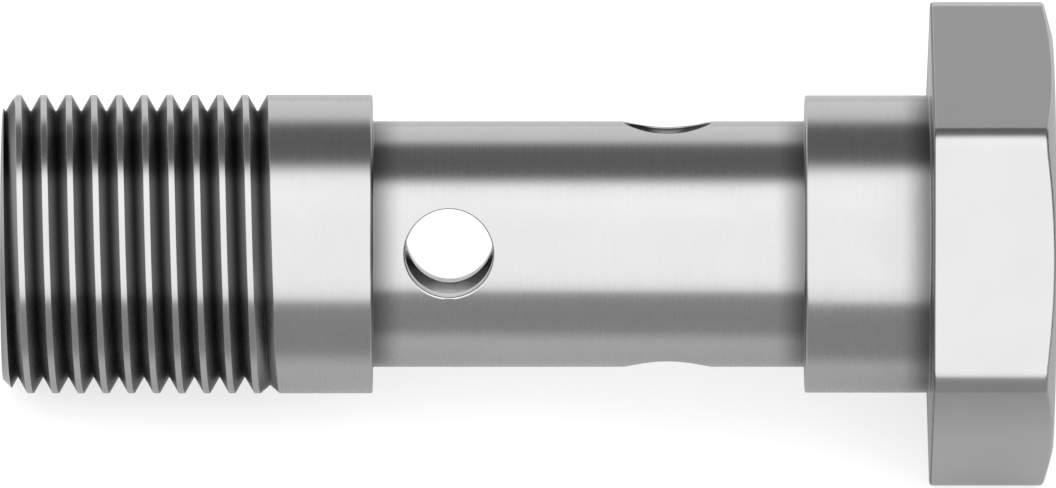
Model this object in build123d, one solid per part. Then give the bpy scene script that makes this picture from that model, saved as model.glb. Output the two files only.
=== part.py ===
from build123d import *
from math import asin, atan2, degrees, hypot, radians, sqrt, tan
import os

# A banjo bolt, M12 x 1 with a 17 mm hexagon head, in millimetres.
# It is one piece, turned from hexagon bar, bored from the thread end and drilled across twice.
# It is drawn along X first, with the tip of the thread at X = 0 and the head at +X, and is then
# laid down as it comes to rest: one flat of the head and the first crest of the thread touch Z = 0.

# Lengths along the bolt, from the tip to the head
threaded_end_length = 14.65
neck_length = 17.15
collar_length = 4.95
head_thickness = 4.85

# Diameters. The thread is drawn as the plain cylinder over its crests.
thread_diameter = 11.85
neck_diameter = 9.75
collar_diameter = 11.8
bore_diameter = 6.5
port_diameter = 3.5

# Hexagon head
across_flats = 17.0
head_end_circle_diameter = 16.6
head_end_chamfer_angle = 15.0
head_corner_radius = 1.15
head_edge_radius = 0.13

# Cross holes: how far along the neck the first one is, and the second one from it
first_port_from_shoulder = 3.05
port_spacing = 8.65

# The first cross hole faces one flat of the head, and the second is at a right angle to it
first_port_direction = 150.0
second_port_direction = first_port_direction - 90.0

# Small edges
tip_chamfer = 0.55
bore_mouth_chamfer = 0.35
step_edge_chamfer = 0.08
step_root_radius = 0.1
port_mouth_chamfer = 0.06

# How far the full bore runs past the second cross hole, and the angle of the drill's point
bore_past_ports = 1.2
drill_point_angle = 118.0

# Places along the bolt that follow from the sizes above
shoulder_end = threaded_end_length
collar_start = shoulder_end + neck_length
head_start = collar_start + collar_length
head_end = head_start + head_thickness
first_port_x = shoulder_end + first_port_from_shoulder
second_port_x = first_port_x + port_spacing
bore_depth = second_port_x + port_diameter / 2 + bore_past_ports


def turned(*corners):
    """Solid of revolution about X. Each corner of its section is (x, radius, rounding)."""
    points = [(x, radius) for x, radius, rounding in corners]
    roundings = [rounding for x, radius, rounding in corners]
    with BuildPart() as solid:
        with BuildSketch(Plane.XY):
            with BuildLine():
                FilletPolyline(*points, radius=roundings, close=True)
            make_face()
        revolve(axis=Axis.X)
    return solid.part


def shank():
    """Threaded end, shoulder, neck and collar."""
    thread_radius = thread_diameter / 2
    neck_radius = neck_diameter / 2
    collar_radius = collar_diameter / 2
    return turned(
        (0, 0, 0),
        (0, thread_radius - tip_chamfer, 0),
        (tip_chamfer, thread_radius, 0),
        (shoulder_end - step_edge_chamfer, thread_radius, 0),
        (shoulder_end, thread_radius - step_edge_chamfer, 0),
        (shoulder_end, neck_radius, step_root_radius),
        (collar_start, neck_radius, step_root_radius),
        (collar_start, collar_radius - step_edge_chamfer, 0),
        (collar_start + step_edge_chamfer, collar_radius, 0),
        (head_start, collar_radius, 0),
        (head_start, 0, 0),
    )


def head_cone():
    """Turned blank that cuts the cone on the outer end of the head."""
    end_radius = head_end_circle_diameter / 2
    reach = across_flats / sqrt(3)
    drop = (reach - end_radius) * tan(radians(head_end_chamfer_angle))
    return turned(
        (head_start, 0, 0),
        (head_start, reach, 0),
        (head_end - drop, reach, 0),
        (head_end, end_radius, 0),
        (head_end, 0, 0),
    )


def hexagon_head():
    """Hexagon with rounded corners, coned at its outer end and eased below, with a flat facing down."""
    with BuildPart() as head:
        with BuildSketch(Plane.YZ.offset(head_start)) as outline:
            RegularPolygon(across_flats / 2, 6, major_radius=False)
            fillet(outline.vertices(), head_corner_radius)
        extrude(amount=head_thickness)
        add(head_cone(), mode=Mode.INTERSECT)
        underside = head.faces().sort_by(Axis.X)[0]
        fillet(underside.edges(), head_edge_radius)
    return head.part


def axial_bore():
    """Blind bore from the tip, with a countersunk mouth and the cone that a drill leaves."""
    bore_radius = bore_diameter / 2
    point_length = bore_radius / tan(radians(drill_point_angle / 2))
    return turned(
        (0, 0, 0),
        (0, bore_radius + bore_mouth_chamfer, 0),
        (bore_mouth_chamfer, bore_radius, 0),
        (bore_depth, bore_radius, 0),
        (bore_depth + point_length, 0, 0),
    )


def cross_hole(x, direction):
    """Cylinder through both walls of the neck, square to the bolt's axis."""
    return Pos(x, 0, 0) * Rot(direction - 90, 0, 0) * Cylinder(port_diameter / 2, neck_diameter * 2)


def seat_root(bolt):
    """The circle in which the collar meets the underside of the head."""
    circles = bolt.edges().filter_by(GeomType.CIRCLE)
    return circles.sort_by(lambda e: abs(e.radius - collar_diameter / 2) + abs(e.arc_center.X - head_start))[0]


def port_mouths(bolt):
    """The edges in which the cross holes come out through the neck."""
    neck = bolt.faces().filter_by(GeomType.CYLINDER).sort_by(lambda f: abs(f.radius - neck_diameter / 2))[0]
    return neck.edges().filter_by(GeomType.BSPLINE)


def bolt_along_x():
    """The whole bolt in its own place, with the tip at X = 0."""
    bolt = shank() + hexagon_head()
    bolt -= axial_bore()
    bolt -= cross_hole(first_port_x, first_port_direction)
    bolt -= cross_hole(second_port_x, second_port_direction)
    bolt = fillet(seat_root(bolt), step_root_radius)
    return chamfer(port_mouths(bolt), port_mouth_chamfer)


def resting_pitch():
    """Angle in degrees between the bolt's axis and the surface that it lies on.

    It rests on the rounded lower edge of the head and on the corner where the tip's chamfer
    meets the thread's crest, so the surface is the line that touches both from below.
    """
    along = head_start + head_edge_radius - tip_chamfer
    below = (across_flats - thread_diameter) / 2 - head_edge_radius
    return degrees(atan2(below, along) + asin(head_edge_radius / hypot(along, below)))


def laid_down(bolt):
    """The bolt at rest, with the middle of its length and width over the origin and its foot on Z = 0."""
    tipped = Rot(0, -resting_pitch(), 0) * bolt
    box = tipped.bounding_box()
    middle = box.center()
    return Pos(-middle.X, -middle.Y, -box.min.Z) * tipped


os.makedirs("parts", exist_ok=True)
export_step(laid_down(bolt_along_x()), "parts/banjo_bolt.step")
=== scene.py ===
from math import asin, atan2, cos, hypot, pi, radians, sin, sqrt, tan

import bmesh
import bpy
from bpy.props import FloatProperty, FloatVectorProperty, IntProperty, PointerProperty
from mathutils import Matrix, Vector


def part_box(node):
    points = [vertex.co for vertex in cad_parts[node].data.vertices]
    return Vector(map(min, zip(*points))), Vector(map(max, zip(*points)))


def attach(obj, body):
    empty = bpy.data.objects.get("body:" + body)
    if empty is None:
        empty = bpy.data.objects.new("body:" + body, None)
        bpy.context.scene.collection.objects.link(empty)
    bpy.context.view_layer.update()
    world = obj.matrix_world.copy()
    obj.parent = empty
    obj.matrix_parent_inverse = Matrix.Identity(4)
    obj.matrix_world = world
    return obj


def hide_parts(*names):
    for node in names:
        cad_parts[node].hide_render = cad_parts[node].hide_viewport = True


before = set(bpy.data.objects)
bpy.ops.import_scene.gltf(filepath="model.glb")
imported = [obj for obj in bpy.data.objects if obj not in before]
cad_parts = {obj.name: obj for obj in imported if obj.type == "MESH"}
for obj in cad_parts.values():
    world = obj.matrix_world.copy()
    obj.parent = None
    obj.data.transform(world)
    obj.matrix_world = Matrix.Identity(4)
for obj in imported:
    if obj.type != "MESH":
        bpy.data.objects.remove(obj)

bl_info = {
    "name": "Banjo bolt",
    "version": (1, 0, 0),
    "blender": (4, 5, 0),
    "location": "View3D > Sidebar > Banjo bolt",
    "description": "Turns, threads, drills and plates a banjo bolt, and sets a plain studio round it",
    "category": "Add Mesh",
}

MM = 0.001
FULL_TURN = 2 * pi
QUARTER_TURN = radians(90)
NODE = "banjo_bolt"
PIECE = "threaded_banjo_bolt"

# Points closer than this are the same point
WELD = 0.0002 * MM
# Straight pieces in each small rounding, and in a full turn of the shank and of a hole
GROOVE_CORNER_SEGMENTS = 2
EDGE_SEGMENTS = 4
HEAD_CORNER_SEGMENTS = 16
TURN_SEGMENTS = 360
PORT_SEGMENTS = 128
# Shape of a bevel that is a true arc
ARC = 0.5

# How many turns the blank thread goes on below the tip, where the tip's own cut takes it away,
# and above the last full groove
TURNS_BELOW_TIP = 2
TURNS_ABOVE_LAST = 3
# Where the blank thread starts and where its groove opens, in pitches from the tip
BLANK_FOOT = -1.35
OPEN_START = -0.9
OPEN_END = -0.5

# How far the shank reaches into the head before the two are joined
SHANK_IN_HEAD = 0.6 * MM
# The fillet under the head ends this far inside it, so that the two surfaces cross cleanly
SEAT_OVERLAP = 0.004 * MM
# How far the cutting tools reach past the surfaces that they cut
TOOL_REACH = 3.0 * MM
# Share of the drill's radius that its chisel edge takes up
CHISEL_SHARE = 0.08
# A hole's cutter stands proud of the neck by one of this many parts of its mouth's rounding
MOUTH_PARTS = 20
HEAD_SIDES = 6
# The cone's facets are turned a little, so that none of them ends on a corner of the hexagon,
# and the points of its rim are kept this far apart before the rim is rounded
HEAD_BLANK_TWIST = radians(0.37)
RIM_SPACING = 0.035 * MM
# How far a normal points up on an upright side of the head, at most, and on an end of it, at least
UPRIGHT_LIFT = 0.1
LEVEL_LIFT = 0.9

# Edges that turn by more than this stay sharp
SHARP_TURN = radians(38)
# Faces of a turned cylinder lean along the axis by less than this
ON_CYLINDER = 0.02
# Places of the four finishes in the bolt's list of materials
TURNED, GROOVE, DRAWN, DRILLED = range(4)
# Limits for telling surfaces apart by their place and by which way they face
NEAR = 0.012 * MM
FLAT_ENOUGH = 0.02
UPRIGHT_ENOUGH = 0.3
CHAMFER_ANGLE = radians(45)

# Clouds in the plating for each millimetre, and how finely clouds and marks are broken up
CLOUDS_PER_MM = 0.4
CLOUD_DETAIL = 3.0
MARK_DETAIL = 2.0
# Between which values the two patterns mostly lie, and how much the marks change the roughness
CLOUD_RANGE = (0.3, 0.7)
MARK_RANGE = (0.2, 0.8)
ROUGHNESS_CHANGE = 0.07
# How quickly rings change round the bolt, and draw lines along it, for each millimetre
ROUND_CHANGE = 0.6
LENGTHWISE_CHANGE = 0.25
# Depth below the crests, in pitches, at which the groove's painted shade is deepest
SHADED_DEPTH = 0.69
# Share of the foot's reach over which the full shine comes back on the head
HEAD_CLEARS = 0.25

# Degrees over the bolt, from straight in front to straight behind, at which the bands of light change
SOFTBOX_END = 45.0
CROWN_START = 76.0
CROWN_END = 87.0
GAP_START = 103.0
GAP_END = 137.0
CARD_START = 153.0
HALF_CIRCLE = 180.0
# Where the plain light from the ends of the studio begins, and where there is nothing but it
END_START = 0.6
END_FULL = 0.92
# The picture's width in points, and the width of the camera's sensor in millimetres
PICTURE_WIDTH = 1056
SENSOR_WIDTH = 36.0
# How near and how far the camera sees, as shares of its distance
CLIP_NEAR = 0.01
CLIP_FAR = 10


def length(name, description, millimetres):
    """A size that the user gives as a length."""
    return FloatProperty(
        name=name, description=description, default=millimetres * MM, unit="LENGTH", precision=6)


def angle(name, description, in_degrees):
    """A size that the user gives as an angle."""
    return FloatProperty(name=name, description=description, default=radians(in_degrees), unit="ROTATION")


def share(name, description, default, highest=1.0):
    """A plain number from zero to its highest value."""
    return FloatProperty(name=name, description=description, default=default, min=0.0, max=highest)


def colour(name, description, grey):
    """A neutral colour, given by its lightness."""
    return FloatVectorProperty(
        name=name, description=description, subtype="COLOR", size=4,
        default=(grey, grey, grey, 1.0), min=0.0, max=1.0)


class BoltSizes(bpy.types.PropertyGroup):
    """The bolt's own sizes, measured along its axis from the tip of the thread."""

    threaded_end: length("Threaded end", "From the tip to the end of the shoulder", 14.65)
    neck_length: length("Neck length", "The slim part between shoulder and collar", 17.15)
    collar_length: length("Collar length", "From the neck to the underside of the head", 4.95)
    head_thickness: length("Head thickness", "Along the axis", 4.85)
    thread_diameter: length("Thread diameter", "Over the crests", 11.85)
    neck_diameter: length("Neck diameter", "The slim part", 9.75)
    collar_diameter: length("Collar diameter", "The part next to the head", 11.8)
    bore_diameter: length("Bore diameter", "The blind bore along the axis", 6.5)
    port_diameter: length("Port diameter", "Each of the two cross holes", 3.5)
    across_flats: length("Across flats", "The wrench size of the head", 17.0)
    head_end_circle: length("Head end circle", "The flat circle on the end of the head", 16.6)
    head_cone_angle: angle("Head cone angle", "The cone round the end of the head", 15.0)
    head_corner_radius: length("Head corner radius", "Round the six upright corners", 1.15)
    head_edge_radius: length("Head edge radius", "Round the rim of the head", 0.13)
    first_port: length("First port", "From the shoulder to the first cross hole", 3.05)
    port_spacing: length("Port spacing", "From the first cross hole to the second", 8.65)
    first_port_direction: angle("First port direction", "Round the axis, up from the right", 150.0)
    port_turn: angle("Port turn", "From the second cross hole's direction to the first one's", 90.0)
    tip_chamfer: length("Tip chamfer", "At the start of the thread", 0.55)
    bore_mouth: length("Bore mouth", "Countersink of the bore", 0.35)
    step_edge: length("Step edge", "Rounding of the shoulder and collar", 0.08)
    step_root: length("Step root", "Fillet at the foot of each step", 0.1)
    port_mouth: length("Port mouth", "Rounding where a cross hole comes out", 0.09)
    bore_past_ports: length("Bore past ports", "Full bore beyond the second cross hole", 1.2)
    drill_point: angle("Drill point", "Cone that the drill leaves", 118.0)


class ThreadSizes(bpy.types.PropertyGroup):
    """The sizes of the thread."""

    pitch: length("Pitch", "From one crest to the next", 1.0)
    crest_flat: length("Crest flat", "Width of the flat on a crest", 0.23)
    crest_rounding: length("Crest rounding", "Radius on the edges of a crest", 0.02)
    root_rounding: length("Root rounding", "Radius in the bottom of the groove", 0.025)
    flank_angle: angle("Flank angle", "Between a flank and a line square to the axis", 30.0)
    first_root: length("First root", "From the tip to the first groove, on its uppermost side as seen", 0.09)
    seen_top: angle("Seen top", "Direction round the axis in which grooves are counted", 55.3)
    full_grooves: IntProperty(name="Full grooves", description="Turns cut to their full depth", default=10)
    run_out: length("Run-out", "Length over which the last groove fades away", 1.0)


class FinishSettings(bpy.types.PropertyGroup):
    """The plating, the marks that the tools have left in it, and the shade painted into its colour."""

    turned_colour: colour("Turned colour", "Plated surfaces that were turned", 0.45)
    drawn_colour: colour("Drawn colour", "Plated flats of the drawn hexagon bar", 0.45)
    drilled_colour: colour("Drilled colour", "Bare metal deep inside the holes", 0.55)
    turned_roughness: share("Turned roughness", "Softness of reflections on turned surfaces", 0.27)
    drawn_roughness: share("Drawn roughness", "Softness of reflections on the six flats", 0.19)
    drilled_roughness: share("Drilled roughness", "Softness of reflections in the holes", 0.18)
    grain: share("Grain", "How much further tool marks spread light across than along themselves", 0.7)
    mark_height: length("Mark height", "How deep the fine tool marks look", 0.004)
    mark_strength: share("Mark strength", "How plainly the fine tool marks show", 0.07)
    marks_per_mm: share("Marks per millimetre", "How fine the tool marks are", 8.0, 100.0)
    clouding: share("Clouding", "How much the plating varies from place to place", 0.015)
    # Painted shade in the feet of the steps: the foot shade darkens the plating's colour there, over the foot
    # reach, where the real bolt lies in shade.
    painted_foot_shade: share("Foot shade", "What is left of the shine in the foot of a step", 0.4)
    foot_reach: length("Foot reach", "How far that dullness goes along the bolt", 1.3)
    # Painted shade in the thread's grooves: the root and flank shades darken the plating's colour towards the
    # root, and the groove edge darkens the flanks' edge tint, where the real grooves lie in shade.
    root_shade: share("Root shade", "What is left of the shine in the thread's root", 0.2)
    flank_shade: share("Flank shade", "What is left of the shine near the thread's crest", 0.64)
    crest_reach: length("Crest reach", "Depth of a fading groove over which the full shine comes back", 0.1)
    groove_edge: share("Groove edge", "Shine of the thread's flanks where they are seen edge on", 0.45)
    # Painted shade in the holes: the mouth shade darkens the bare metal's colour just inside each mouth, and
    # the deep shade darkens it from between the ports inwards, where the real holes look dark.
    painted_mouth_shade: share("Mouth shade", "What is left of the shine of a hole's wall at its mouth", 0.25)
    mouth_reach: length("Mouth reach", "How far that shade reaches into the hole", 0.25)
    painted_deep_shade: share("Deep shade", "What is left of the shine in the bore from its middle inwards", 0.3)


class StudioSettings(bpy.types.PropertyGroup):
    """Floor, light and camera."""

    floor_size: length("Floor size", "Side of the pale floor", 6000.0)
    floor_colour: colour("Floor colour", "The pale floor", 0.42)
    floor_glow: share("Floor glow", "Light that the floor shows by itself, as on a light table", 0.72)
    glow_in_metal: share("Glow in metal", "How much of the floor's glow the metal shows", 0.5)
    glow_front: length("Glow front", "How far in front of the bolt the metal shows the glow in full", 6.5)
    glow_fade: length("Glow fade", "Further distance over which it fades there", 3.6)
    low_light: share(
        "Low light", "What metal sees of the softbox where it stands on the floor, in front", 1.25, 4.0)
    low_light_start: length("Low light start", "How far in front of the bolt the softbox's foot begins", 42.0)
    low_light_full: length("Low light full", "How far in front of the bolt it has its full strength", 60.0)
    softbox_level: share("Softbox level", "Broad soft light in front and above", 1.85, 4.0)
    crown_level: share("Crown level", "The softbox near its far edge, overhead", 1.95, 4.0)
    gap_level: share("Gap level", "Dark gap between the softbox and the back card", 0.19, 4.0)
    card_level: share("Card level", "Pale card behind", 1.1, 4.0)
    tip_end_level: share("Tip end level", "Plain light from beyond the tip of the bolt", 1.2, 4.0)
    head_end_level: share("Head end level", "Plain light from beyond the head of the bolt", 0.06, 4.0)
    camera_lens: length("Camera lens", "Focal length of the camera", 700.0)
    camera_lift: angle("Camera lift", "How far above the level of the bolt's axis the camera stands", 34.65)
    camera_aim: length("Camera aim", "Where along the axis the camera looks", 20.82)
    picture_scale: share("Picture scale", "Picture points for each millimetre of the axis", 25.2, 1000.0)


def resting_pitch(sizes):
    """Angle between the bolt's axis and the floor, as it rests on its head and the first crest."""
    along = sizes.threaded_end + sizes.neck_length + sizes.collar_length
    along += sizes.head_edge_radius - sizes.tip_chamfer
    below = (sizes.across_flats - sizes.thread_diameter) / 2 - sizes.head_edge_radius
    return atan2(below, along) + asin(sizes.head_edge_radius / hypot(along, below))


def laid_down(sizes):
    """From the bolt's own place, with the tip at the origin and the head at +X, to where it rests."""
    pitch = resting_pitch(sizes)
    radius = sizes.thread_diameter / 2
    rise = radius * cos(pitch) - sizes.tip_chamfer * sin(pitch)
    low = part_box(NODE)[0]
    slide = low.x + (radius - sizes.tip_chamfer) * sin(pitch)
    return Matrix.Translation((slide, 0, rise)) @ Matrix.Rotation(-pitch, 4, "Y")


def bench_place(sizes):
    """From the workbench, where the axis stands upright on the tip, to where the bolt rests."""
    return laid_down(sizes) @ Matrix.Rotation(QUARTER_TURN, 4, "Y")


def bench_angle(direction):
    """A direction round the axis, given from the side in the bolt's own place, on the workbench."""
    return direction + QUARTER_TURN


def select_only(piece):
    """Makes this piece the only selected one."""
    bpy.ops.object.select_all(action="DESELECT")
    piece.select_set(True)
    bpy.context.view_layer.objects.active = piece


def start_edit(piece, mode):
    """Opens the piece for editing vertices, edges or faces, with nothing selected."""
    select_only(piece)
    bpy.ops.object.mode_set(mode="EDIT")
    bpy.ops.mesh.select_mode(type=mode)
    bpy.ops.mesh.select_all(action="DESELECT")


def end_edit():
    """Back to object mode."""
    bpy.ops.object.mode_set(mode="OBJECT")


def pick(piece, kind, wanted):
    """Selects the vertices, edges or faces of the open piece that are wanted, and nothing else."""
    bpy.ops.mesh.select_all(action="DESELECT")
    mesh = bmesh.from_edit_mesh(piece.data)
    for item in getattr(mesh, kind):
        if wanted(item):
            item.select_set(True)
    mesh.select_flush_mode()
    bmesh.update_edit_mesh(piece.data)


def spread(point):
    """Distance of a point from the upright axis."""
    return hypot(point.x, point.y)


def rounded_outline(corners, segments):
    """Points (height, radius) of an outline whose corners (height, radius, rounding) become arcs."""
    points = []
    last = len(corners) - 1
    for index, (height, radius, rounding) in enumerate(corners):
        corner = Vector((height, radius))
        if rounding == 0 or index in (0, last):
            points.append(corner)
            continue
        back = (Vector(corners[index - 1][:2]) - corner).normalized()
        onward = (Vector(corners[index + 1][:2]) - corner).normalized()
        half = back.angle(onward) / 2
        centre = corner + (back + onward).normalized() * (rounding / sin(half))
        start = (corner + back * (rounding / tan(half)) - centre).normalized()
        end = (corner + onward * (rounding / tan(half)) - centre).normalized()
        points += [centre + start.slerp(end, step / segments) * rounding for step in range(segments + 1)]
    return points


def extrude_rings(outline, height, radius):
    """Draws the selected ring out along the upright axis, one step for each point of the outline."""
    for point in outline:
        bpy.ops.mesh.extrude_region_move(TRANSFORM_OT_translate={"value": (0, 0, point.x - height)})
        grow = point.y / radius
        bpy.ops.transform.resize(value=(grow, grow, 1), center_override=(0, 0, 0))
        height, radius = point


def turned_solid(name, outline, segments, twist=0.0):
    """Closed solid turned about the upright axis, from the points of its outline, lowest first."""
    height, radius = outline[0]
    bpy.ops.object.select_all(action="DESELECT")
    bpy.ops.mesh.primitive_circle_add(
        vertices=segments, radius=radius, location=(0, 0, height), rotation=(0, 0, twist))
    solid = bpy.context.object
    solid.name = name
    bpy.ops.object.transform_apply(location=True, rotation=True, scale=True)
    start_edit(solid, "EDGE")
    bpy.ops.mesh.select_all(action="SELECT")
    extrude_rings(outline[1:], height, radius)
    bpy.ops.mesh.edge_face_add()
    pick(solid, "edges", lambda edge: edge.is_boundary)
    bpy.ops.mesh.edge_face_add()
    bpy.ops.mesh.select_all(action="SELECT")
    bpy.ops.mesh.normals_make_consistent(inside=False)
    end_edit()
    return solid


def combine(piece, tool, operation):
    """Adds, cuts or intersects the piece with the tool, which is then taken away."""
    select_only(piece)
    step = piece.modifiers.new(operation.title(), "BOOLEAN")
    step.operation = operation
    step.solver = "EXACT"
    step.object = tool
    bpy.ops.object.modifier_apply(modifier=step.name)
    bpy.data.objects.remove(tool)
    start_edit(piece, "VERT")
    bpy.ops.mesh.select_all(action="SELECT")
    bpy.ops.mesh.remove_doubles(threshold=WELD)
    end_edit()


def groove_outline(sizes, thread):
    """One pitch of the thread's section, crest to crest, as (height, radius) about the groove's middle."""
    crest = sizes.thread_diameter / 2
    half_mouth = (thread.pitch - thread.crest_flat) / 2
    root = crest - half_mouth / tan(thread.flank_angle)
    corners = (
        (-thread.pitch / 2, crest, 0),
        (-half_mouth, crest, thread.crest_rounding),
        (0, root, thread.root_rounding),
        (half_mouth, crest, thread.crest_rounding),
        (thread.pitch / 2, crest, 0),
    )
    return rounded_outline(corners, GROOVE_CORNER_SEGMENTS)



def smooth_step(value, start, end):
    """From 0 at the start to 1 at the end, with no corner at either."""
    part = min(1.0, max(0.0, (value - start) / (end - start)))
    return part * part * (3 - 2 * part)



def threaded_blank(sizes, thread):
    """Open tube with the thread on it, from below the tip to where the groove has run out."""
    root_at_zero = thread.first_root - thread.pitch * bench_angle(thread.seen_top) / FULL_TURN
    start = root_at_zero - TURNS_BELOW_TIP * thread.pitch
    outline = groove_outline(sizes, thread)
    first = outline[0]
    # The smallest circle there is, merged into one point, is where the section starts
    bpy.ops.object.select_all(action="DESELECT")
    bpy.ops.mesh.primitive_circle_add(
        vertices=3, radius=thread.crest_flat, location=(first.y, 0, start + first.x))
    blank = bpy.context.object
    blank.name = PIECE
    bpy.ops.object.transform_apply(location=True, rotation=True, scale=True)
    start_edit(blank, "VERT")
    bpy.ops.mesh.select_all(action="SELECT")
    bpy.ops.mesh.merge(type="CENTER")
    for before, after in zip(outline, outline[1:]):
        step = (after.y - before.y, 0, after.x - before.x)
        bpy.ops.mesh.extrude_region_move(TRANSFORM_OT_translate={"value": step})
    end_edit()

    turns = TURNS_BELOW_TIP + thread.full_grooves + TURNS_ABOVE_LAST
    helix = blank.modifiers.new("Helix", "SCREW")
    helix.axis = "Z"
    helix.angle = FULL_TURN
    helix.screw_offset = thread.pitch
    helix.iterations = turns
    helix.steps = TURN_SEGMENTS
    helix.render_steps = TURN_SEGMENTS
    bpy.ops.object.modifier_apply(modifier=helix.name)

    fade_groove(blank, sizes, thread, root_at_zero)

    run_out_end = thread.first_root + thread.full_grooves * thread.pitch + thread.run_out
    top = run_out_end + thread.pitch / 2
    start_edit(blank, "VERT")
    bpy.ops.mesh.select_all(action="SELECT")
    bpy.ops.mesh.remove_doubles(threshold=WELD)
    level_end(blank, BLANK_FOOT * thread.pitch, -1)
    level_end(blank, top, 1)
    end_edit()
    return blank, top


def fade_groove(blank, sizes, thread, root_at_zero):
    """Lets the groove rise to the crest at both ends, keeping its width."""
    crest = sizes.thread_diameter / 2
    last_full = thread.first_root + thread.full_grooves * thread.pitch
    for vertex in blank.data.vertices:
        turned = (atan2(vertex.co.y, vertex.co.x) % FULL_TURN) / FULL_TURN
        passed = (vertex.co.z - root_at_zero) / thread.pitch - turned
        root = root_at_zero + (round(passed) + turned) * thread.pitch
        fade = smooth_step(root, last_full, last_full + thread.run_out)
        fade += 1 - smooth_step(root, OPEN_START * thread.pitch, OPEN_END * thread.pitch)
        grow = 1 + fade * (crest / spread(vertex.co) - 1)
        vertex.co.x *= grow
        vertex.co.y *= grow


def level_end(blank, height, side):
    """Presses the slanting end of the helix, where it is a plain cylinder, into one level ring."""
    pick(blank, "verts", lambda vertex: (vertex.co.z - height) * side > 0)
    bpy.ops.transform.resize(value=(1, 1, 0), center_override=(0, 0, height))
    bpy.ops.mesh.select_all(action="SELECT")
    bpy.ops.mesh.remove_doubles(threshold=WELD)


def pick_open_ring(blank, height, side):
    """Selects the open edge at one end of the thread and sets it level."""
    middle = height - side * blank.dimensions.z / 2
    pick(blank, "edges", lambda edge: edge.is_boundary and (edge.verts[0].co.z - middle) * side > 0)
    bpy.ops.transform.resize(value=(1, 1, 0), center_override=(0, 0, height))



def shank(sizes, thread):
    """Thread, shoulder, neck and collar as one closed solid, standing on its tip."""
    blank, top = threaded_blank(sizes, thread)
    crest = sizes.thread_diameter / 2
    neck = sizes.neck_diameter / 2
    collar = sizes.collar_diameter / 2
    neck_start = sizes.threaded_end
    collar_start = neck_start + sizes.neck_length
    head_start = collar_start + sizes.collar_length
    seat = head_start + SEAT_OVERLAP
    flare = collar + sizes.step_root
    corners = (
        (top, crest, 0),
        (neck_start, crest, sizes.step_edge),
        (neck_start, neck, sizes.step_root),
        (collar_start, neck, sizes.step_root),
        (collar_start, collar, sizes.step_edge),
        (seat, collar, sizes.step_root),
        (seat, flare + sizes.step_root, 0),
    )
    outline = rounded_outline(corners, EDGE_SEGMENTS)[1:-1]
    outline.append(Vector((seat + SHANK_IN_HEAD, flare)))
    start_edit(blank, "EDGE")
    pick_open_ring(blank, BLANK_FOOT * thread.pitch, -1)
    bpy.ops.mesh.edge_face_add()
    pick_open_ring(blank, top, 1)
    extrude_rings(outline, top, crest)
    bpy.ops.mesh.edge_face_add()
    bpy.ops.mesh.select_all(action="SELECT")
    bpy.ops.mesh.normals_make_consistent(inside=False)
    end_edit()
    return blank



def cut_tip(bolt, sizes):
    """Faces the tip and chamfers the start of the thread."""
    face_radius = sizes.thread_diameter / 2 - sizes.tip_chamfer
    rim = face_radius + TOOL_REACH
    outline = (
        Vector((-TOOL_REACH, rim)),
        Vector((TOOL_REACH, rim)),
        Vector((0, face_radius)),
    )
    tool = turned_solid("tip_tool", outline, TURN_SEGMENTS)
    combine(bolt, tool, "DIFFERENCE")



def bore_axis(bolt, sizes):
    """Drills the blind bore from the tip, with its countersink and drill point."""
    radius = sizes.bore_diameter / 2
    second_port = sizes.threaded_end + sizes.first_port + sizes.port_spacing
    depth = second_port + sizes.port_diameter / 2 + sizes.bore_past_ports
    point = radius / tan(sizes.drill_point / 2)
    mouth = sizes.bore_mouth
    # The chisel edge in the middle of a drill's point leaves a small flat
    point_flat = CHISEL_SHARE * radius
    outline = (
        Vector((-TOOL_REACH, radius + mouth + TOOL_REACH)),
        Vector((mouth, radius)),
        Vector((depth, radius)),
        Vector((depth + point * (1 - point_flat / radius), point_flat)),
    )
    tool = turned_solid("bore_tool", outline, PORT_SEGMENTS)
    combine(bolt, tool, "DIFFERENCE")


def port_tool(sizes):
    """Drill for a cross hole, upright through the origin, which also rounds both mouths.

    Its rings are turned flat, and then follow the curve of the neck, whose axis lies along X.
    """
    radius = sizes.port_diameter / 2
    neck = sizes.neck_diameter / 2
    mouth = sizes.port_mouth
    overlap = mouth / MOUTH_PARTS
    above = (
        (0, radius, 0),
        (neck, radius, mouth),
        (neck, radius + TOOL_REACH, 0),
    )
    rounding = rounded_outline(above, EDGE_SEGMENTS)[1:-1]
    rounding.append(Vector((neck + overlap, radius + mouth + overlap * EDGE_SEGMENTS)))
    rounding.append(Vector((neck + TOOL_REACH, radius + mouth + overlap * EDGE_SEGMENTS)))
    below = [Vector((-point.x, point.y)) for point in reversed(rounding)]
    tool = turned_solid("port_tool", below + rounding, PORT_SEGMENTS)
    start_edit(tool, "VERT")
    mesh = bmesh.from_edit_mesh(tool.data)
    for vertex in mesh.verts:
        drop = neck - sqrt(neck ** 2 - vertex.co.y ** 2)
        vertex.co.z -= drop if vertex.co.z > 0 else -drop
    bmesh.update_edit_mesh(tool.data)
    end_edit()
    return tool


def bore_port(bolt, sizes, height, direction):
    """Drills one cross hole at this height, through both walls of the neck."""
    tool = port_tool(sizes)
    across = Matrix.Rotation(bench_angle(direction), 4, "Z") @ Matrix.Rotation(QUARTER_TURN, 4, "Y")
    tool.matrix_world = Matrix.Translation((0, 0, height)) @ across
    select_only(tool)
    bpy.ops.object.transform_apply(location=True, rotation=True, scale=True)
    combine(bolt, tool, "DIFFERENCE")



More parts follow.
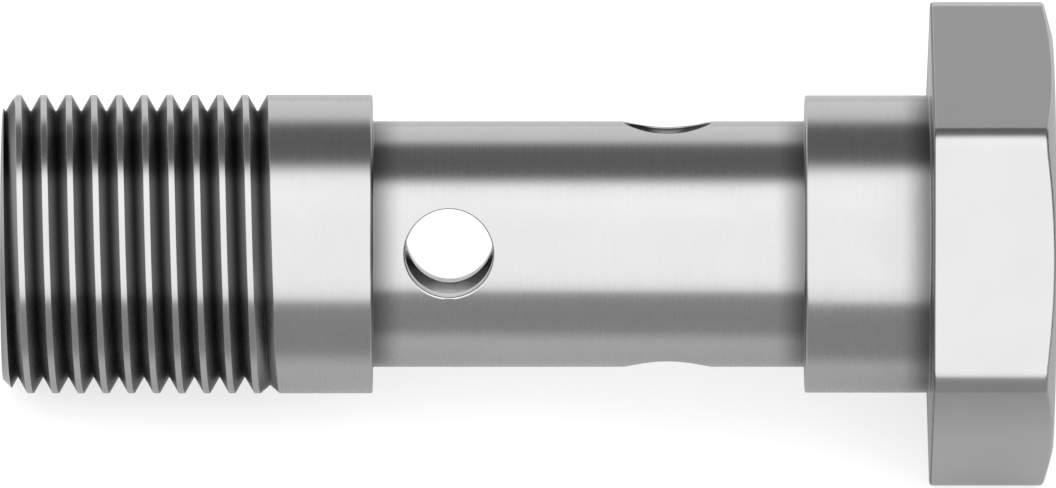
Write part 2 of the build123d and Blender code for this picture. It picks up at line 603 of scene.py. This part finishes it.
def head(sizes):
    """Hexagon head with rounded corners, coned on its end, all its edges eased."""
    head_start = sizes.threaded_end + sizes.neck_length + sizes.collar_length
    head_end = head_start + sizes.head_thickness
    middle = (head_start + head_end) / 2
    reach = sizes.across_flats / sqrt(3)
    bpy.ops.object.select_all(action="DESELECT")
    bpy.ops.mesh.primitive_cylinder_add(
        vertices=HEAD_SIDES, radius=reach, depth=sizes.head_thickness, location=(0, 0, middle))
    hexagon = bpy.context.object
    hexagon.name = "hexagon_head"
    bpy.ops.object.transform_apply(location=True, rotation=True, scale=True)
    start_edit(hexagon, "EDGE")
    pick(hexagon, "edges", lambda edge: abs(edge.verts[0].co.z - edge.verts[1].co.z) > WELD)
    bpy.ops.mesh.bevel(
        offset_type="OFFSET", offset=sizes.head_corner_radius * tan(pi / HEAD_SIDES),
        segments=HEAD_CORNER_SEGMENTS, profile=ARC, affect="EDGES", clamp_overlap=False)
    end_edit()

    end_radius = sizes.head_end_circle / 2
    widest = reach + TOOL_REACH
    corners = (
        (head_start - TOOL_REACH, widest, 0),
        (head_end - (widest - end_radius) * tan(sizes.head_cone_angle), widest, 0),
        (head_end, end_radius, sizes.head_edge_radius),
        (head_end, 0, 0),
    )
    outline = rounded_outline(corners, EDGE_SEGMENTS)[:-1]
    blank = turned_solid("head_blank", outline, TURN_SEGMENTS, twist=HEAD_BLANK_TWIST)
    combine(hexagon, blank, "INTERSECT")

    start_edit(hexagon, "EDGE")
    pick(hexagon, "edges", rim_of_head)
    bpy.ops.mesh.remove_doubles(threshold=RIM_SPACING)
    pick(hexagon, "edges", rim_of_head)
    bpy.ops.mesh.bevel(
        offset_type="OFFSET", offset=sizes.head_edge_radius, segments=EDGE_SEGMENTS,
        profile=ARC, affect="EDGES", clamp_overlap=False)
    bpy.ops.mesh.select_all(action="SELECT")
    bpy.ops.mesh.remove_doubles(threshold=WELD)
    end_edit()
    return hexagon


def rim_of_head(edge):
    """Whether an edge lies between an upright side of the head and an end of it."""
    if len(edge.link_faces) != 2:
        return False
    lifts = sorted(abs(face.normal.z) for face in edge.link_faces)
    return lifts[0] < UPRIGHT_LIFT and lifts[1] > LEVEL_LIFT



def finish_shading(bolt, sizes):
    """Smooth over every rounding and sharp only at true edges, with flats that look flat."""
    select_only(bolt)
    bpy.ops.object.shade_smooth_by_angle(angle=SHARP_TURN)
    weighted = bolt.modifiers.new("Flat flats", "WEIGHTED_NORMAL")
    weighted.mode = "FACE_AREA"
    weighted.keep_sharp = True
    bpy.ops.object.modifier_apply(modifier=weighted.name)
    true_cylinders(bolt, sizes)


def true_cylinders(bolt, sizes):
    """Lets the turned cylinders shade as true cylinders, also where a hole has cut their facets short."""
    mesh = bolt.data
    radii = (sizes.thread_diameter / 2, sizes.neck_diameter / 2, sizes.collar_diameter / 2)
    normals = [Vector(corner.vector) for corner in mesh.corner_normals]
    for face in mesh.polygons:
        outwards = face.normal.x * face.center.x + face.normal.y * face.center.y
        if abs(face.normal.z) > ON_CYLINDER or outwards < 0:
            continue
        corners = [mesh.vertices[index].co for index in face.vertices]
        if any(min(abs(spread(corner) - radius) for radius in radii) > NEAR for corner in corners):
            continue
        for index, corner in zip(face.loop_indices, corners):
            normals[index] = Vector((corner.x, corner.y, 0)).normalized()
    mesh.normals_split_custom_set(normals)


def add_node(tree, kind, inputs=None, **settings):
    """Adds a node. Each input is given a value, or the output that it is linked to."""
    node = tree.nodes.new(kind)
    for name, value in settings.items():
        setattr(node, name, value)
    for socket, value in (inputs or {}).items():
        if isinstance(value, bpy.types.NodeSocket):
            tree.links.new(value, node.inputs[socket])
        else:
            node.inputs[socket].default_value = value
    return node


def arithmetic(tree, operation, first, second=0.0):
    """One step of arithmetic on two numbers."""
    return add_node(tree, "ShaderNodeMath", {0: first, 1: second}, operation=operation).outputs[0]


def vectors(tree, operation, first, second=(0, 0, 0)):
    """One step of arithmetic on two vectors."""
    node = add_node(tree, "ShaderNodeVectorMath", {0: first, 1: second}, operation=operation)
    return node.outputs["Value" if operation == "LENGTH" else "Vector"]


def ranged(tree, value, start, end, low, high):
    """Runs softly from low to high as the value goes from start to end, and stays there beyond."""
    inputs = {"Value": value, "From Min": start, "From Max": end, "To Min": low, "To Max": high}
    return add_node(tree, "ShaderNodeMapRange", inputs, interpolation_type="SMOOTHSTEP").outputs["Result"]


def own_place(tree, sizes):
    """Place on the bolt in millimetres, with X along its axis from the tip."""
    lie = laid_down(sizes)
    inputs = {
        "Vector": add_node(tree, "ShaderNodeTexCoord").outputs["Object"],
        "Location": lie.to_translation(),
        "Rotation": lie.to_euler(),
        "Scale": (MM, MM, MM),
    }
    return add_node(tree, "ShaderNodeMapping", inputs, vector_type="TEXTURE").outputs["Vector"]


def across_rings(tree, sizes):
    """Direction in the surface that runs square to the rings that turning leaves."""
    lie = laid_down(sizes)
    place = add_node(tree, "ShaderNodeTexCoord").outputs["Object"]
    from_axis = vectors(tree, "SUBTRACT", place, lie.to_translation())
    around = vectors(tree, "CROSS_PRODUCT", lie.to_3x3().col[0], from_axis)
    normal = add_node(tree, "ShaderNodeNewGeometry").outputs["Normal"]
    return vectors(tree, "NORMALIZE", vectors(tree, "CROSS_PRODUCT", normal, around))


def across_draw(tree, sizes):
    """Direction in the surface that runs square to the lines that drawing the bar leaves."""
    axis = laid_down(sizes).to_3x3().col[0]
    normal = add_node(tree, "ShaderNodeNewGeometry").outputs["Normal"]
    return vectors(tree, "NORMALIZE", vectors(tree, "CROSS_PRODUCT", axis, normal))


def ring_marks(tree, place, radius, finish):
    """Fine rings: closely spaced along the axis and outwards, and changing slowly on the way round."""
    along = add_node(tree, "ShaderNodeSeparateXYZ", {0: place}).outputs["X"]
    spaced = add_node(tree, "ShaderNodeCombineXYZ", {0: along, 1: radius}).outputs[0]
    fine = vectors(tree, "SCALE", spaced)
    fine.node.inputs["Scale"].default_value = finish.marks_per_mm
    slow = vectors(tree, "MULTIPLY", place, (0, ROUND_CHANGE, ROUND_CHANGE))
    return vectors(tree, "ADD", fine, slow)


def draw_marks(tree, place, radius, finish):
    """Fine lines along the bar, changing slowly on their way."""
    fine = finish.marks_per_mm
    return vectors(tree, "MULTIPLY", place, (LENGTHWISE_CHANGE, fine, fine))



def painted_foot_shade(tree, place, radius, finish, sizes):
    """Painted shade in the feet of the steps, at both ends of the neck and under the head, where the real
    bolt lies in shade.
    """
    along = add_node(tree, "ShaderNodeSeparateXYZ", {0: place}).outputs["X"]
    reach = finish.foot_reach / MM
    shoulder = sizes.threaded_end / MM
    collar = shoulder + sizes.neck_length / MM
    head_start = collar + sizes.collar_length / MM
    after_shoulder = ranged(tree, along, shoulder, shoulder + reach, finish.painted_foot_shade, 1.0)
    before_collar = ranged(tree, along, collar - reach, collar, 1.0, finish.painted_foot_shade)
    before_head = ranged(tree, along, head_start - reach, head_start, 1.0, finish.painted_foot_shade)
    beyond_head = ranged(tree, along, head_start, head_start + reach * HEAD_CLEARS, 0.0, 1.0)
    on_collar = arithmetic(tree, "MAXIMUM", before_head, beyond_head)
    on_neck = arithmetic(tree, "MINIMUM", after_shoulder, before_collar)
    outwards = ranged(tree, radius, sizes.neck_diameter / 2 / MM, sizes.collar_diameter / 2 / MM, 0.0, 1.0)
    mixed = add_node(tree, "ShaderNodeMix", {"Factor": outwards, "A": on_neck, "B": on_collar})
    return mixed.outputs["Result"]


def painted_groove_shade(tree, place, radius, finish, sizes):
    """Painted shade, darker towards the root of the thread where the real groove lies in shade, and full
    shine where the groove fades out.
    """
    crest = sizes.thread_diameter / 2 / MM
    root = crest - SHADED_DEPTH * bpy.context.scene.thread_sizes.pitch / MM
    in_groove = ranged(tree, radius, root, crest, finish.root_shade, finish.flank_shade)
    near_crest = ranged(tree, radius, crest - finish.crest_reach / MM, crest, 0.0, 1.0)
    return arithmetic(tree, "MAXIMUM", in_groove, near_crest)



def painted_mouth_shade(tree, place, radius, finish, sizes):
    """Bare metal in the holes, with painted shade just inside their rounded mouths and in the bore's inner
    half, where the real holes look dark.
    """
    along = add_node(tree, "ShaderNodeSeparateXYZ", {0: place}).outputs["X"]
    between = (sizes.threaded_end + sizes.first_port + sizes.port_spacing / 2) / MM
    apart = sizes.port_diameter / 2 / MM
    deeper = ranged(tree, along, between - apart, between + apart, 1.0, finish.painted_deep_shade)
    neck = sizes.neck_diameter / 2 / MM
    mouth = sizes.port_mouth / MM
    in_wall = ranged(tree, radius, neck - finish.mouth_reach / MM, neck - mouth, 1.0, finish.painted_mouth_shade)
    in_rounding = ranged(tree, radius, neck - mouth, neck - mouth / 2, 0.0, 1.0)
    return arithmetic(tree, "MAXIMUM", arithmetic(tree, "MULTIPLY", in_wall, deeper), in_rounding)


def no_shade(tree, place, radius, finish, sizes):
    """The same shine all over."""
    return 1.0


def plated(name, tint, roughness, marks, across, edge, shade, finish, sizes):
    """Plated steel: a neutral metal with faint clouds, the tool's fine marks, and painted shade in its
    corners, grooves and holes.
    """
    material = bpy.data.materials.new(name)
    material.use_nodes = True
    tree = material.node_tree
    shader = tree.nodes["Principled BSDF"]
    place = own_place(tree, sizes)
    radius = vectors(tree, "LENGTH", vectors(tree, "MULTIPLY", place, (0, 1, 1)))
    cloud_inputs = {"Vector": place, "Scale": CLOUDS_PER_MM, "Detail": CLOUD_DETAIL}
    clouds = add_node(tree, "ShaderNodeTexNoise", cloud_inputs)
    mark_inputs = {"Vector": marks(tree, place, radius, finish), "Scale": 1.0, "Detail": MARK_DETAIL}
    lines = add_node(tree, "ShaderNodeTexNoise", mark_inputs)

    cloudy = ranged(tree, clouds.outputs["Fac"], *CLOUD_RANGE, 1.0 - finish.clouding, 1.0 + finish.clouding)
    # The colour is the tint varied by random clouds and darkened by painted shade, which stands in for the
    # shade in the bolt's corners, grooves and holes.
    lightness = arithmetic(tree, "MULTIPLY", cloudy, shade(tree, place, radius, finish, sizes))
    tinted = add_node(tree, "ShaderNodeMix", {"Factor": lightness}, data_type="RGBA", clamp_factor=False)
    tinted.inputs["A"].default_value = (0, 0, 0, 1)
    tinted.inputs["B"].default_value = tint
    tree.links.new(tinted.outputs["Result"], shader.inputs["Base Color"])

    change = roughness * ROUGHNESS_CHANGE
    rough = ranged(tree, lines.outputs["Fac"], *MARK_RANGE, roughness - change, roughness + change)
    tree.links.new(rough, shader.inputs["Roughness"])
    bump_inputs = {
        "Strength": finish.mark_strength, "Distance": finish.mark_height, "Height": lines.outputs["Fac"]}
    bump = add_node(tree, "ShaderNodeBump", bump_inputs)
    tree.links.new(bump.outputs["Normal"], shader.inputs["Normal"])
    tree.links.new(across(tree, sizes), shader.inputs["Tangent"])
    shader.inputs["Metallic"].default_value = 1.0
    shader.inputs["Anisotropic"].default_value = finish.grain
    shader.inputs["Specular Tint"].default_value = (edge, edge, edge, 1.0)
    return material


def kind_of_surface(face, sizes, thread):
    """Which finish a face of the upright bolt has: its place in the list of materials."""
    middle = face.calc_center_median()
    radius = spread(middle)
    crest = sizes.thread_diameter / 2
    neck = sizes.neck_diameter / 2
    collar_start = sizes.threaded_end + sizes.neck_length
    head_start = collar_start + sizes.collar_length
    on_chamfer = middle.z < sizes.tip_chamfer and abs(face.normal.z + sin(CHAMFER_ANGLE)) < FLAT_ENOUGH
    run_out_end = thread.first_root + (thread.full_grooves + 1) * thread.pitch + thread.run_out
    if middle.z > head_start and abs(face.normal.z) < UPRIGHT_ENOUGH:
        return DRAWN
    if NEAR < middle.z < collar_start and radius < neck - NEAR:
        return DRILLED
    if NEAR < middle.z < run_out_end and neck < radius < crest - NEAR and not on_chamfer:
        return GROOVE
    return TURNED



def plate_bolt(bolt, finish, sizes, thread):
    """Gives the turned, threaded, drawn and drilled surfaces their own plated finish, with painted shade in
    the feet of the steps, the thread's grooves and the holes.
    """
    turned = (finish.turned_colour, finish.turned_roughness, ring_marks, across_rings, 1.0)
    # The groove plate is the turned plate with painted shade: darker towards the root, with a darker edge
    # tint on the flanks.
    groove = (finish.turned_colour, finish.turned_roughness, ring_marks, across_rings, finish.groove_edge)
    drawn = (finish.drawn_colour, finish.drawn_roughness, draw_marks, across_draw, 1.0)
    drilled = (finish.drilled_colour, finish.drilled_roughness, ring_marks, across_rings, 1.0)
    bolt.data.materials.append(plated("turned_plate", *turned, painted_foot_shade, finish, sizes))
    bolt.data.materials.append(plated("thread_groove_plate", *groove, painted_groove_shade, finish, sizes))
    bolt.data.materials.append(plated("drawn_flat_plate", *drawn, no_shade, finish, sizes))
    bolt.data.materials.append(plated("drilled_plate", *drilled, painted_mouth_shade, finish, sizes))
    start_edit(bolt, "FACE")
    for kind in (GROOVE, DRAWN, DRILLED):
        pick(bolt, "faces", lambda face: kind_of_surface(face, sizes, thread) == kind)
        bolt.active_material_index = kind
        bpy.ops.object.material_slot_assign()
    end_edit()


class BANJOBOLT_OT_make_bolt(bpy.types.Operator):
    """Turn, thread, drill and plate the bolt, and lay it where the frame has it"""

    bl_idname = "object.banjobolt_make_bolt"
    bl_label = "Make bolt"
    bl_options = {"REGISTER", "UNDO"}

    def execute(self, context):
        sizes = context.scene.bolt_sizes
        thread = context.scene.thread_sizes
        bolt = shank(sizes, thread)
        combine(bolt, head(sizes), "UNION")
        bore_axis(bolt, sizes)
        first = sizes.threaded_end + sizes.first_port
        second = first + sizes.port_spacing
        direction = sizes.first_port_direction
        bore_port(bolt, sizes, first, direction)
        bore_port(bolt, sizes, second, direction - sizes.port_turn)
        cut_tip(bolt, sizes)
        finish_shading(bolt, sizes)
        plate_bolt(bolt, context.scene.bolt_finish, sizes, thread)
        bolt.matrix_world = bench_place(sizes)
        select_only(bolt)
        bpy.ops.object.transform_apply(location=True, rotation=True, scale=True)
        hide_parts(NODE)
        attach(bolt, "root")
        return {"FINISHED"}


def studio_light(studio):
    """World whose light changes with the angle over the bolt: softbox, dark gap, back card."""
    world = bpy.data.worlds.new("studio_light")
    bpy.context.scene.world = world
    world.use_nodes = True
    tree = world.node_tree
    tree.nodes.clear()
    direction = add_node(tree, "ShaderNodeTexCoord").outputs["Generated"]
    parts = add_node(tree, "ShaderNodeSeparateXYZ", {0: direction})
    forward = arithmetic(tree, "MULTIPLY", parts.outputs["Y"], -1.0)
    over = arithmetic(tree, "ARCTAN2", parts.outputs["Z"], forward)
    brightest = max(studio.softbox_level, studio.crown_level, studio.card_level, studio.tip_end_level)
    bands = add_node(tree, "ShaderNodeValToRGB", {"Fac": arithmetic(tree, "DIVIDE", over, pi)})
    ramp = bands.color_ramp
    ramp.interpolation = "EASE"
    stops = (
        (0.0, studio.softbox_level),
        (SOFTBOX_END, studio.softbox_level),
        (CROWN_START, studio.crown_level),
        (CROWN_END, studio.crown_level),
        (GAP_START, studio.gap_level),
        (GAP_END, studio.gap_level),
        (CARD_START, studio.card_level),
    )
    while len(ramp.elements) < len(stops):
        ramp.elements.new(1.0)
    for element, (over_angle, level) in zip(ramp.elements, stops):
        element.position = over_angle / HALF_CIRCLE
        element.color = (*[level / brightest] * 3, 1.0)
    light = bands.outputs["Color"]
    for side, level in ((-1.0, studio.tip_end_level), (1.0, studio.head_end_level)):
        along = arithmetic(tree, "MULTIPLY", parts.outputs["X"], side)
        towards_end = ranged(tree, along, END_START, END_FULL, 0.0, 1.0)
        mixed = add_node(tree, "ShaderNodeMix", {"Factor": towards_end}, data_type="RGBA")
        tree.links.new(light, mixed.inputs["A"])
        mixed.inputs["B"].default_value = (*[level / brightest] * 3, 1.0)
        light = mixed.outputs["Result"]
    sky = add_node(tree, "ShaderNodeBackground", {"Strength": brightest, "Color": light})
    add_node(tree, "ShaderNodeOutputWorld", {"Surface": sky.outputs[0]})



def studio_floor(studio):
    """Pale floor, part painted and part glowing like a light table, where camera and metal see it."""
    bpy.ops.object.select_all(action="DESELECT")
    bpy.ops.mesh.primitive_plane_add(size=studio.floor_size)
    floor = bpy.context.object
    floor.name = "floor"
    material = bpy.data.materials.new("pale_floor")
    material.use_nodes = True
    tree = material.node_tree
    tree.nodes.clear()
    place = add_node(tree, "ShaderNodeTexCoord").outputs["Object"]
    across = add_node(tree, "ShaderNodeSeparateXYZ", {0: place}).outputs["Y"]
    fade_end = -studio.glow_front - studio.glow_fade
    glow_in_metal = studio.floor_glow * studio.glow_in_metal
    pool = ranged(tree, across, fade_end, -studio.glow_front, 0.0, glow_in_metal)
    low = ranged(tree, across, -studio.low_light_full, -studio.low_light_start, studio.low_light, 0.0)
    ray = add_node(tree, "ShaderNodeLightPath")
    seen = arithmetic(tree, "MAXIMUM", ray.outputs["Is Camera Ray"], ray.outputs["Is Transmission Ray"])
    seen = arithmetic(tree, "MULTIPLY", seen, studio.floor_glow)
    mirrored = arithmetic(tree, "MULTIPLY", arithmetic(tree, "ADD", pool, low), ray.outputs["Is Glossy Ray"])
    glow = add_node(tree, "ShaderNodeEmission", {"Strength": arithmetic(tree, "ADD", seen, mirrored)})
    paint = add_node(tree, "ShaderNodeBsdfDiffuse", {"Color": studio.floor_colour})
    both = add_node(tree, "ShaderNodeAddShader", {0: paint.outputs[0], 1: glow.outputs[0]})
    add_node(tree, "ShaderNodeOutputMaterial", {"Surface": both.outputs[0]})
    floor.data.materials.append(material)



def studio_camera(sizes, studio):
    """Camera square to the bolt's axis, at the height and size of the picture."""
    lens = studio.camera_lens / MM
    distance = lens / SENSOR_WIDTH * PICTURE_WIDTH / studio.picture_scale * MM
    lift = studio.camera_lift
    right = Vector((1, 0, 0))
    up = Vector((0, sin(lift), cos(lift)))
    back = Vector((0, -cos(lift), sin(lift)))
    turn = Matrix((right, up, back)).transposed().to_4x4()
    stand = Matrix.Translation(Vector((studio.camera_aim, 0, 0)) + back * distance)
    bpy.ops.object.select_all(action="DESELECT")
    bpy.ops.object.camera_add()
    camera = bpy.context.object
    camera.name = "studio_camera"
    camera.matrix_world = laid_down(sizes) @ stand @ turn
    camera.data.lens = lens
    camera.data.sensor_width = SENSOR_WIDTH
    camera.data.clip_start = distance * CLIP_NEAR
    camera.data.clip_end = distance * CLIP_FAR
    bpy.context.scene.camera = camera


class BANJOBOLT_OT_set_stage(bpy.types.Operator):
    """Put a pale floor, soft studio light and the camera round the bolt"""

    bl_idname = "scene.banjobolt_set_stage"
    bl_label = "Set stage"
    bl_options = {"REGISTER", "UNDO"}

    def execute(self, context):
        studio = context.scene.studio_settings
        studio_camera(context.scene.bolt_sizes, studio)
        studio_light(studio)
        studio_floor(studio)
        context.scene.view_settings.view_transform = "Standard"
        return {"FINISHED"}


class BANJOBOLT_PT_panel(bpy.types.Panel):
    """Lists the steps that make the bolt and its stage"""

    bl_idname = "BANJOBOLT_PT_panel"
    bl_label = "Banjo bolt"
    bl_space_type = "VIEW_3D"
    bl_region_type = "UI"
    bl_category = "Banjo bolt"

    def draw(self, context):
        for group in ("bolt_sizes", "thread_sizes", "bolt_finish", "studio_settings"):
            settings = getattr(context.scene, group)
            box = self.layout.box()
            for name in settings.bl_rna.properties.keys():
                if name not in ("rna_type", "name"):
                    box.prop(settings, name)
        self.layout.operator(BANJOBOLT_OT_set_stage.bl_idname)
        self.layout.operator(BANJOBOLT_OT_make_bolt.bl_idname)


CLASSES = (
    BoltSizes,
    ThreadSizes,
    FinishSettings,
    StudioSettings,
    BANJOBOLT_OT_make_bolt,
    BANJOBOLT_OT_set_stage,
    BANJOBOLT_PT_panel,
)


def register():
    """Adds the settings, the operators and the panel to Blender."""
    for cls in CLASSES:
        bpy.utils.register_class(cls)
    bpy.types.Scene.bolt_sizes = PointerProperty(type=BoltSizes)
    bpy.types.Scene.thread_sizes = PointerProperty(type=ThreadSizes)
    bpy.types.Scene.bolt_finish = PointerProperty(type=FinishSettings)
    bpy.types.Scene.studio_settings = PointerProperty(type=StudioSettings)


def unregister():
    """Takes them out again."""
    del bpy.types.Scene.studio_settings
    del bpy.types.Scene.bolt_finish
    del bpy.types.Scene.thread_sizes
    del bpy.types.Scene.bolt_sizes
    for cls in reversed(CLASSES):
        bpy.utils.unregister_class(cls)


def main():
    """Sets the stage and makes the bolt."""
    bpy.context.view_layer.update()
    register()
    bpy.ops.scene.banjobolt_set_stage()
    bpy.ops.object.banjobolt_make_bolt()


if __name__ == "__main__":
    main()
